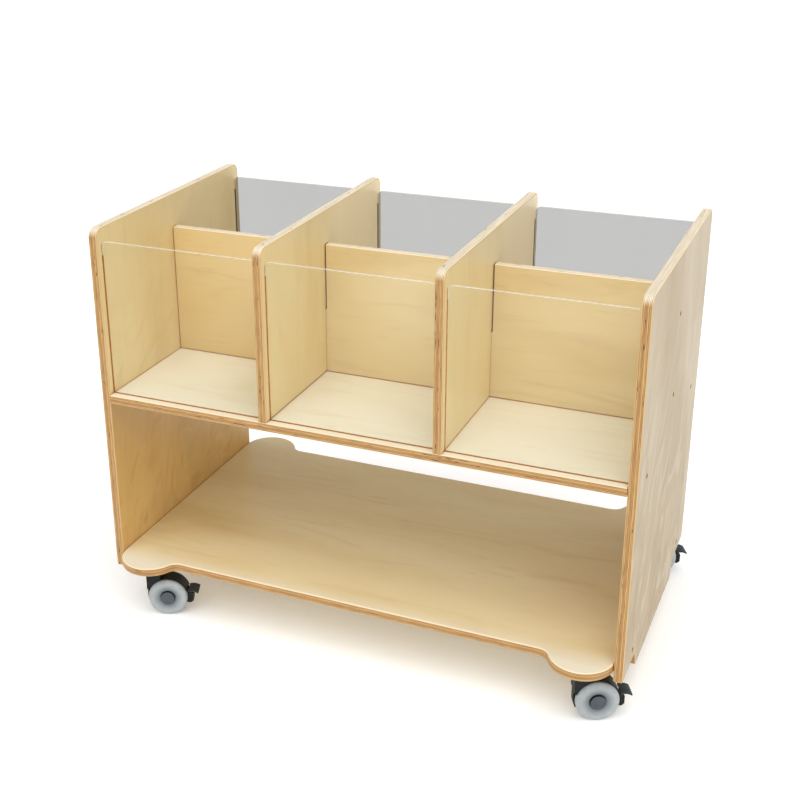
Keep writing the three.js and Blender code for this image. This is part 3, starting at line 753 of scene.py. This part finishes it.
def cut_bolt_holes(piece, side):
    """Counterbored bolt holes through a side panel, taken from the bolts' own places."""
    low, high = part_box(f"side_panel_{side}")
    sign = outward[side]
    inner, outer = (low.x, high.x) if side == "right" else (high.x, low.x)
    seat = outer - sign * (BOLT_RECESS + BOLT_HEAD + PIECE_GAP)
    holes = bmesh.new()
    heads = bmesh.new()
    for number in BOLT_NUMBERS:
        bolt_low, bolt_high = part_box(f"bolt_{side}_{number}")
        place = (0, (bolt_low.y + bolt_high.y) / 2, (bolt_low.z + bolt_high.z) / 2)
        ends = sorted((inner - sign * CUT_PAST, outer + sign * CUT_PAST))
        rod(holes, "x", BOLT_SHANK_RADIUS + BOLT_HOLE_PLAY, ends[0], ends[1], place, BOLT_STEPS)
        ends = sorted((seat, outer + sign * CUT_PAST))
        rod(heads, "x", BOLT_HEAD_RADIUS + BOLT_HOLE_PLAY, ends[0], ends[1], place, BOLT_STEPS)
    cut(piece, holes, groove_wood)
    cut(piece, heads, groove_wood)


def make_side_panel(side):
    """A side panel with its grooves, bolt holes and a greyer veneer on its outer face, whose grey is
    partly a painted sheen of the light grazing it.
    """
    node = f"side_panel_{side}"
    low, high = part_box(node)
    shelf_low, shelf_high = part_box("middle_shelf")
    # Its inner face carries painted shade below the middle shelf.
    face = birch_face(f"{node}_face", "z", HONEY, 0.12, 0.42, veneer_shift[side],
                      shaded_below=shelf_low.z)
    edge = birch_edge(f"{node}_edge", "x", low.x, high.x - low.x)
    panel = slab(f"{node}_board", side_panel_outline(high.y, low.z, high.z), high.x - low.x,
                 EDGE_ROUND, ALONG_X, (low.x, 0, 0), [face, edge])
    grooves = bmesh.new()
    for near, far in groove_y.values():
        start, end = low.x - CUT_PAST, low.x + GROOVE_DEPTH
        if side == "left":
            start, end = high.x - GROOVE_DEPTH, high.x + CUT_PAST
        block(grooves, (start, near, shelf_high.z - GROOVE_DEPTH), (end, far, GROOVE_TOP))
    cut(panel, grooves, groove_wood)
    cut_bolt_holes(panel, side)
    # The outer face's greyer tone is partly a painted sheen.
    outer_face = birch_face(f"{node}_outer_face", "z", GREIGE_WITH_SHEEN, 0.06, 0.55, outer_veneer_shift[side])
    panel.data.materials.append(outer_face)
    outer_slot = len(panel.data.materials) - 1
    for polygon in panel.data.polygons:
        if polygon.material_index == 0 and polygon.normal.x * outward[side] > FACES_OUT:
            polygon.material_index = outer_slot
    smooth(panel)
    stand_for(panel, node)


for side in ("left", "right"):
    make_side_panel(side)


def bottom_shelf_outline(half_y, ear, radius):
    """The bottom shelf: straight edges, a round ear over each caster, hollow fillets between."""
    rise = EAR_FILLET + half_y - ear.y
    run = math.sqrt((radius + EAR_FILLET) ** 2 - rise ** 2)
    meet = math.degrees(math.atan2(rise, -run))
    quarter = arc(ear, radius, 0, meet, EAR_STEPS)
    quarter += arc((ear.x - run, ear.y + rise), EAR_FILLET, meet - 180, -90, FILLET_STEPS)[1:]
    upper = quarter + [Vector((-p.x, p.y)) for p in reversed(quarter)]
    return upper + [Vector((-p.x, -p.y)) for p in upper]


swivels = {}
for joint in frame["joints"]:
    if joint["child"].endswith("_swivel"):
        swivels[joint["child"]] = joint["pos_m"]


def make_bottom_shelf():
    """The bottom shelf, with each ear centred on its caster's swivel axis."""
    low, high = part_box("bottom_shelf")
    ear = Vector(swivels["back_right_swivel"][:2])
    straight_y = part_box("middle_shelf")[1].y
    outline = bottom_shelf_outline(straight_y, ear, high.y - ear.y)
    # Its ears carry painted light.
    face = birch_face("bottom_shelf_face", "x", TAWNY, 0.2, 0.0, (0, 3.1, 0),
                      painted_light_beyond=EAR_LIGHT_FROM)
    edge = birch_edge("bottom_shelf_edge", "z", low.z, high.z - low.z, voids=0.74)
    shelf = slab("bottom_shelf_board", outline, high.z - low.z,
                 EDGE_ROUND, ALONG_Z, (0, 0, low.z), [face, edge])
    smooth(shelf)
    stand_for(shelf, "bottom_shelf")


def make_middle_shelf():
    """The middle shelf, with a groove for each row of acrylic along its whole length."""
    low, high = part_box("middle_shelf")
    outline = [(low.x, low.y), (high.x, low.y), (high.x, high.y), (low.x, high.y)]
    face = birch_face("middle_shelf_face", "x", CREAM, 0.2, 0.0, (0, 7.7, 0))
    edge = birch_edge("middle_shelf_edge", "z", low.z, high.z - low.z, voids=0.70)
    shelf = slab("middle_shelf_board", outline, high.z - low.z,
                 SHELF_ROUND, ALONG_Z, (0, 0, low.z), [face, edge])
    grooves = bmesh.new()
    for near, far in groove_y.values():
        block(grooves, (low.x - CUT_PAST, near, high.z - GROOVE_DEPTH),
              (high.x + CUT_PAST, far, high.z + CUT_PAST))
    cut(shelf, grooves, groove_wood)
    smooth(shelf)
    stand_for(shelf, "middle_shelf")


def make_center_board():
    """The upright board, slotted from above for the dividers."""
    low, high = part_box("center_board")
    outline = panel_outline(high.x, low.z, high.z, BOARD_CORNER)
    face = birch_face("center_board_face", "x", AMBER, 0.22, 0.0, (0, 0, 5.3),
                      warm_left=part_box("divider_left")[0].x)
    edge = birch_edge("center_board_edge", "y", low.y, high.y - low.y)
    board = slab("center_board_board", outline, high.y - low.y,
                 SHELF_ROUND, ALONG_Y, (0, high.y, 0), [face, edge])
    slots = bmesh.new()
    for node in DIVIDERS:
        divider_low, divider_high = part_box(node)
        block(slots, (divider_low.x - BOARD_SLOT_PLAY, low.y - CUT_PAST, HALF_LAP_Z),
              (divider_high.x + BOARD_SLOT_PLAY, high.y + CUT_PAST, high.z + CUT_PAST))
    cut(board, slots, groove_wood)
    smooth(board)
    stand_for(board, "center_board")


def make_divider(node, shift):
    """A divider, notched from below over the board and grooved on both sides for the acrylic."""
    low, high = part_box(node)
    board_low, board_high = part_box("center_board")
    outline = panel_outline(high.y, low.z, high.z, PANEL_CORNER)
    # Painted light behind the board, and painted shade on the strip inside the board's slot.
    face = birch_face(f"{node}_face", "z", HONEY, 0.15, 0.0, shift, painted_light_behind=board_high.y,
                      shaded_strip=((board_low.y, HALF_LAP_Z), (board_high.y, board_high.z)))
    edge = birch_edge(f"{node}_edge", "x", low.x, high.x - low.x)
    divider = slab(f"{node}_board", outline, high.x - low.x,
                   EDGE_ROUND, ALONG_X, (low.x, 0, 0), [face, edge])
    grooves = bmesh.new()
    block(grooves, (low.x - CUT_PAST, board_low.y - NOTCH_PLAY, low.z - CUT_PAST),
          (high.x + CUT_PAST, board_high.y + NOTCH_PLAY, HALF_LAP_Z + NOTCH_OVERRUN))
    for near, far in groove_y.values():
        bottom = low.z - CUT_PAST
        block(grooves, (low.x - CUT_PAST, near, bottom), (low.x + GROOVE_DEPTH, far, GROOVE_TOP))
        block(grooves, (high.x - GROOVE_DEPTH, near, bottom), (high.x + CUT_PAST, far, GROOVE_TOP))
    cut(divider, grooves, groove_wood)
    smooth(divider)
    stand_for(divider, node)


make_bottom_shelf()
make_middle_shelf()
make_center_board()
for node, shift in zip(DIVIDERS, ((1.7, 0, 0), (4.7, 0, 0))):
    make_divider(node, shift)


# ---------------------------------------------------------------- acrylic panels

bay_faces = {
    "left": (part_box("side_panel_left")[1].x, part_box("divider_left")[0].x),
    "middle": (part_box("divider_left")[1].x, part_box("divider_right")[0].x),
    "right": (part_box("divider_right")[1].x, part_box("side_panel_right")[0].x),
}


def acrylic_outline(low, high, bay):
    """A sheet whose sides and foot sit in grooves, narrower above them, round at its upper corners."""
    left = bay_faces[bay][0] + ACRYLIC_SIDE_GAP
    right = bay_faces[bay][1] - ACRYLIC_SIDE_GAP
    corner_z = high.z - ACRYLIC_CORNER
    points = [Vector((low.x, low.z)), Vector((high.x, low.z)), Vector((high.x, ACRYLIC_SHOULDER))]
    points.append(Vector((right, ACRYLIC_SHOULDER)))
    points += arc((right - ACRYLIC_CORNER, corner_z), ACRYLIC_CORNER, 0, 90, CORNER_STEPS)
    points += arc((left + ACRYLIC_CORNER, corner_z), ACRYLIC_CORNER, 90, 180, CORNER_STEPS)
    return points + [Vector((left, ACRYLIC_SHOULDER)), Vector((low.x, ACRYLIC_SHOULDER))]


for row, finishes in (("front", [clear_sheet, clear_edge]), ("rear", [grey_sheet, grey_edge])):
    for bay in ("left", "middle", "right"):
        node = f"{row}_acrylic_{bay}"
        low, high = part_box(node)
        sheet = slab(f"{node}_sheet", acrylic_outline(low, high, bay), high.y - low.y,
                     ACRYLIC_ARRIS, ALONG_Y, (0, high.y, 0), finishes)
        smooth(sheet, ACRYLIC_SHARP)
        stand_for(sheet, node)


# ---------------------------------------------------------------- connector bolts

def make_bolt(side, number):
    """A socket-head bolt whose head faces outwards from its side panel."""
    node = f"bolt_{side}_{number}"
    low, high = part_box(node)
    length = high.x - low.x
    bolt = turned(f"{node}_screw", [
        (0, -length),
        (BOLT_SHANK_RADIUS - BOLT_CHAMFER, -length),
        (BOLT_SHANK_RADIUS, -length + BOLT_CHAMFER),
        (BOLT_SHANK_RADIUS, -BOLT_HEAD),
        (BOLT_HEAD_RADIUS, -BOLT_HEAD),
        (BOLT_HEAD_RADIUS, -BOLT_CHAMFER),
        (BOLT_HEAD_RADIUS - BOLT_CHAMFER, 0),
        (0, 0)], BOLT_STEPS, [black_steel])
    socket = bmesh.new()
    rod(socket, "z", HEX_RADIUS, -HEX_DEPTH, CUT_PAST, (0, 0, 0), HEX_SIDES)
    cut(bolt, socket)
    turn = Matrix.Rotation(outward[side] * math.pi / 2, 4, "Y")
    head_x = high.x if side == "right" else low.x
    place = Matrix.Translation((head_x, (low.y + high.y) / 2, (low.z + high.z) / 2))
    bolt.data.transform(place @ turn)
    smooth(bolt)
    stand_for(bolt, node)


for side in ("left", "right"):
    for number in BOLT_NUMBERS:
        make_bolt(side, number)


# ---------------------------------------------------------------- casters

def about_axle(radius, degrees):
    """A point around the axle, in the caster's X and Z."""
    angle = math.radians(degrees)
    return Vector((TRAIL + radius * math.cos(angle), AXLE_HEIGHT + radius * math.sin(angle)))


def caster_slab(name, points, half_width, material):
    """A slab of an outline in the caster's X and Z, centred on its middle plane."""
    return slab(name, points, 2 * half_width, 0, ALONG_Y, (0, half_width, 0), [material])


def make_housing(name):
    """Web between the wheels, hood over them, neck under the shelf and tail for the pedal."""
    axle = (TRAIL, AXLE_HEIGHT)
    front = TRAIL - HOOD_OUTER
    neck_angle = math.degrees(math.acos((NECK_BACK - TRAIL) / HOOD_OUTER))
    neck = [Vector((front, NECK_TOP)), Vector((NECK_BACK, NECK_TOP))]
    top_angle = math.degrees(math.asin((TAIL_TOP - AXLE_HEIGHT) / HOOD_INNER))
    tail = [Vector(p) for p in TAIL_CORNERS]
    web = neck + arc(axle, HOOD_OUTER, neck_angle, top_angle, HOOD_STEPS) + tail[::-1]
    web.append(about_axle(HOOD_INNER, TAIL_BOTTOM_ANGLE))
    web += arc(axle, HOOD_OUTER, WEB_END, 180, WEB_STEPS)
    hood = neck + arc(axle, HOOD_OUTER, neck_angle, HOOD_END, HOOD_STEPS)
    hood += arc(axle, HOOD_INNER, HOOD_END, HOOD_FRONT, HOOD_INNER_STEPS)
    hood.append(Vector((front, about_axle(HOOD_INNER, HOOD_FRONT).y + HOOD_LIP)))
    cheeks = arc(axle, HOOD_INNER, top_angle, TAIL_BOTTOM_ANGLE, TAIL_STEPS) + tail
    housing = caster_slab(name, web[::-1], WEB_HALF_WIDTH, black_plastic)
    join_to(housing, caster_slab("hood", hood[::-1], HOOD_HALF_WIDTH, black_plastic))
    join_to(housing, caster_slab("cheeks", cheeks, TAIL_HALF_WIDTH, black_plastic))
    holes = bmesh.new()
    rod(holes, "z", KINGPIN_HOLE, KINGPIN_HOLE_BOTTOM, NECK_TOP + CUT_PAST, (0, 0, 0))
    rod(holes, "y", AXLE_HOLE, -TAIL_HALF_WIDTH, TAIL_HALF_WIDTH, (TRAIL, 0, AXLE_HEIGHT))
    slot = LUG_HALF_WIDTH + LUG_PLAY
    (slot_x, slot_z), (slot_end, slot_top) = PEDAL_SLOT
    block(holes, (slot_x, -slot, slot_z), (slot_end, slot, slot_top))
    cut(housing, holes)
    pin = bmesh.new()
    reach = TAIL_HALF_WIDTH + CUT_PAST
    rod(pin, "y", TRUNNION_RADIUS + PIECE_GAP, -reach, reach, (PEDAL_HINGE[0], 0, PEDAL_HINGE[1]))
    cut(housing, pin)
    return housing


def make_wheel(name):
    """A wheel: flat inner face, flat tread, and a bulged outer face dished to the hub cap's seat."""
    edge = AXLE_HEIGHT - WHEEL_SHOULDER
    centre = (edge, WHEEL_SHOULDER - WHEEL_HALF_WIDTH)
    shoulder = arc(centre, WHEEL_SHOULDER, -90, 0, WHEEL_SHOULDER_STEPS)
    profile = [(WHEEL_BORE, -WHEEL_HALF_WIDTH), (edge, -WHEEL_HALF_WIDTH)]
    profile += [(point.x, point.y) for point in shoulder[1:]]
    profile += [(AXLE_HEIGHT - inward, height) for inward, height in WHEEL_SECTION]
    profile.append((SEAT_RADIUS + SEAT_CHAMFER[0], SEAT_RIM))
    profile.append((SEAT_RADIUS, SEAT_RIM - SEAT_CHAMFER[1]))
    profile.append((SEAT_RADIUS, WHEEL_HALF_WIDTH - SEAT_DEPTH))
    profile.append((WHEEL_BORE, WHEEL_HALF_WIDTH - SEAT_DEPTH))
    return turned(name, profile, WHEEL_STEPS, [tyre_rubber])


def make_hub_cap(name):
    """A hub cap: black round its side as painted shade, with a slate face and a bevelled rim round a
    shallow dish.
    """
    profile = [(0, 0), (HUB_CAP_RADIUS, 0)]
    profile += [(HUB_CAP_RADIUS - inward, HUB_CAP_THICKNESS - down) for inward, down in HUB_CAP_RIM]
    profile.append((0, profile[-1][1]))
    return turned(name, profile, WHEEL_STEPS, [slate_plastic, black_plastic], HUB_CAP_SHADE_SLOTS)


def make_pedal(name):
    """An arched brake lever on a smooth curve through its spine, with a lug and two trunnions."""
    spine = [Vector(p) for p in PEDAL_SPINE]
    line = []
    for k in range(len(spine) - 1):
        before = spine[max(k - 1, 0)]
        after = spine[min(k + 2, len(spine) - 1)]
        for i in range(PEDAL_STEPS if k < len(spine) - 2 else PEDAL_STEPS + 1):
            t = i / PEDAL_STEPS
            a, b = spine[k], spine[k + 1]
            leave, arrive = (b - before) / 2, (after - a) / 2
            line.append(a * (2 * t**3 - 3 * t**2 + 1) + leave * (t**3 - 2 * t**2 + t)
                        + b * (-2 * t**3 + 3 * t**2) + arrive * (t**3 - t**2))
    above, below = [], []
    for i, point in enumerate(line):
        along = (line[min(i + 1, len(line) - 1)] - line[max(i - 1, 0)]).normalized()
        normal = Vector((-along.y, along.x)) * PEDAL_THICKNESS / 2
        above.append(point + normal)
        below.append(point - normal)
    pedal = caster_slab(name, below + above[::-1], PEDAL_HALF_WIDTH, pedal_plastic)
    hinge = Vector(PEDAL_HINGE)
    lug = [hinge + Vector(corner) for corner in LUG_CORNERS]
    join_to(pedal, caster_slab("lug", lug, LUG_HALF_WIDTH, pedal_plastic))
    pins = bmesh.new()
    rod(pins, "y", TRUNNION_RADIUS, -TRUNNION_REACH, TRUNNION_REACH, (hinge.x, 0, hinge.y))
    cut(pedal, pins, None, "UNION")
    return pedal


def make_axle(name):
    """The steel pin that both wheels turn on."""
    return turned(name, [
        (0, -AXLE_HALF_LENGTH),
        (AXLE_RADIUS - AXLE_CHAMFER, -AXLE_HALF_LENGTH),
        (AXLE_RADIUS, -AXLE_HALF_LENGTH + AXLE_CHAMFER),
        (AXLE_RADIUS, AXLE_HALF_LENGTH - AXLE_CHAMFER),
        (AXLE_RADIUS - AXLE_CHAMFER, AXLE_HALF_LENGTH),
        (0, AXLE_HALF_LENGTH)], AXLE_STEPS, [zinc])


def make_stem(name, low_z, high_z):
    """Kingpin in the housing, flange under the shelf and plain shank inside the shelf."""
    flange_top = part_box("bottom_shelf")[0].z - PIECE_GAP
    flange_bottom = NECK_TOP + FLANGE_ABOVE_NECK
    return turned(name, [
        (0, low_z),
        (KINGPIN_RADIUS - STEM_CHAMFER, low_z),
        (KINGPIN_RADIUS, low_z + STEM_CHAMFER),
        (KINGPIN_RADIUS, flange_bottom),
        (FLANGE_RADIUS - STEM_CHAMFER, flange_bottom),
        (FLANGE_RADIUS, flange_bottom + STEM_CHAMFER),
        (FLANGE_RADIUS, flange_top - STEM_CHAMFER),
        (FLANGE_RADIUS - STEM_CHAMFER, flange_top),
        (SHANK_RADIUS, flange_top),
        (SHANK_RADIUS, high_z - STEM_CHAMFER),
        (SHANK_RADIUS - STEM_CHAMFER, high_z),
        (0, high_z)], STEM_STEPS, [zinc])


def make_caster(place):
    """Builds all pieces of one caster in its own frame and puts them where its joints say."""
    swivel = f"{place}_swivel"
    spin = next(j for j in frame["joints"] if j["child"] == f"{place}_wheel_a")
    spot = swivels[swivel]
    turn = math.atan2(-spin["axis"][0], spin["axis"][1])
    home = Matrix.Translation((spot[0], spot[1], 0)) @ Matrix.Rotation(turn, 4, "Z")
    node = f"caster_{place}"

    def put(piece, part, slot, body, local=Matrix.Identity(4), **finish):
        """Moves a piece from its place in the caster to its place in the cart and finishes it."""
        piece.data.transform(home @ local)
        smooth(piece, **finish)
        stand_for(piece, f"{node}_{part}", body)

    housing = make_housing(f"{node}_housing_shell")
    put(housing, "housing", "caster_housing", swivel, rounding=MOULDED_ROUND)
    pedal = make_pedal(f"{node}_pedal_lever")
    put(pedal, "brake_pedal", "brake_pedal", f"{place}_pedal", rounding=MOULDED_ROUND)
    across = Matrix.Translation((TRAIL, 0, AXLE_HEIGHT)) @ Matrix.Rotation(math.pi / 2, 4, "X")
    put(make_axle(f"{node}_axle_rod"), "axle", "caster_steel", swivel, across)
    low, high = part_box(f"{node}_stem")
    put(make_stem(f"{node}_stem_pin", low.z, high.z), "stem", "caster_steel", "cart_body")
    for letter, side in (("a", -1), ("b", 1)):
        body = f"{place}_wheel_{letter}"
        face_out = Matrix.Rotation(-side * math.pi / 2, 4, "X")
        wheel_place = Matrix.Translation((TRAIL, side * WHEEL_OFFSET, AXLE_HEIGHT)) @ face_out
        wheel = make_wheel(f"{node}_wheel_{letter}_tyre")
        put(wheel, f"wheel_{letter}", "wheel", body, wheel_place)
        cap_y = side * (WHEEL_OFFSET + HUB_CAP_OFFSET)
        cap_place = Matrix.Translation((TRAIL, cap_y, AXLE_HEIGHT)) @ face_out
        cap = make_hub_cap(f"{node}_hub_cap_{letter}_disc")
        put(cap, f"hub_cap_{letter}", "hub_cap", body, cap_place, sharp_degrees=HUB_CAP_SHARP)


for place in ("front_left", "front_right", "back_right", "back_left"):
    make_caster(place)


# ---------------------------------------------------------------- floor, light and camera

def make_floor():
    """A wide pale floor that glows a little, which softens the cart's shadow."""
    bm = bmesh.new()
    bm.faces.new([bm.verts.new((x * FLOOR_REACH, y * FLOOR_REACH, 0)) for x, y in FLOOR_CORNERS])
    paint = Paint("pale_floor")
    grain = paint.noise(paint.place, 40, 3.0)
    paint.colour(paint.ramp(grain, (0.3, srgb(246, 246, 246)), (0.7, srgb(249, 249, 249))))
    paint.roughness(paint.ramp(grain, (0.3, 0.75), (0.7, 0.85)))
    paint.shader.inputs["Emission Color"].default_value = (1.0, 1.0, 1.0, 1.0)
    paint.shader.inputs["Emission Strength"].default_value = FLOOR_GLOW
    floor = new_object("floor", bm, [paint.material])
    floor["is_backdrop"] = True


def distant_light(name, azimuth, elevation, spread, strength):
    """A soft light from far off. Its azimuth is in degrees from the cart's front towards its right."""
    light = bpy.data.lights.new(name, "SUN")
    light.energy = strength
    light.angle = math.radians(spread)
    lamp = bpy.data.objects.new(name, light)
    bpy.context.scene.collection.objects.link(lamp)
    around, up = math.radians(azimuth), math.radians(elevation)
    flat = math.cos(up)
    towards = Vector((flat * math.sin(around), -flat * math.cos(around), math.sin(up)))
    lamp.rotation_euler = towards.to_track_quat("Z", "Y").to_euler()


make_floor()
distant_light("key", azimuth=26, elevation=60, spread=60, strength=1.78)
distant_light("right_fill", azimuth=110, elevation=62, spread=60, strength=0.5)
distant_light("left_fill", azimuth=-60, elevation=50, spread=60, strength=0.5)

world = bpy.data.worlds.new("studio")
world.use_nodes = True
world.node_tree.nodes["Background"].inputs["Color"].default_value = (1.0, 1.0, 1.0, 1)
world.node_tree.nodes["Background"].inputs["Strength"].default_value = STUDIO_LIGHT
bpy.context.scene.world = world
bpy.context.scene.view_settings.view_transform = "Standard"

lens = bpy.data.cameras.new("camera")
lens.sensor_width = SENSOR_WIDTH
lens.lens = CAMERA_LENS
lens.shift_x, lens.shift_y = CAMERA_SHIFT
camera = bpy.data.objects.new("camera", lens)
bpy.context.scene.collection.objects.link(camera)
yaw = Matrix.Rotation(math.radians(CAMERA_YAW), 4, "Z")
pitch = Matrix.Rotation(math.radians(90 - CAMERA_PITCH), 4, "X")
roll = Matrix.Rotation(math.radians(CAMERA_ROLL), 4, "Z")
camera.matrix_world = Matrix.Translation(CAMERA_PLACE) @ yaw @ pitch @ roll
bpy.context.scene.camera = camera

bpy.context.view_layer.update()
low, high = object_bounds()
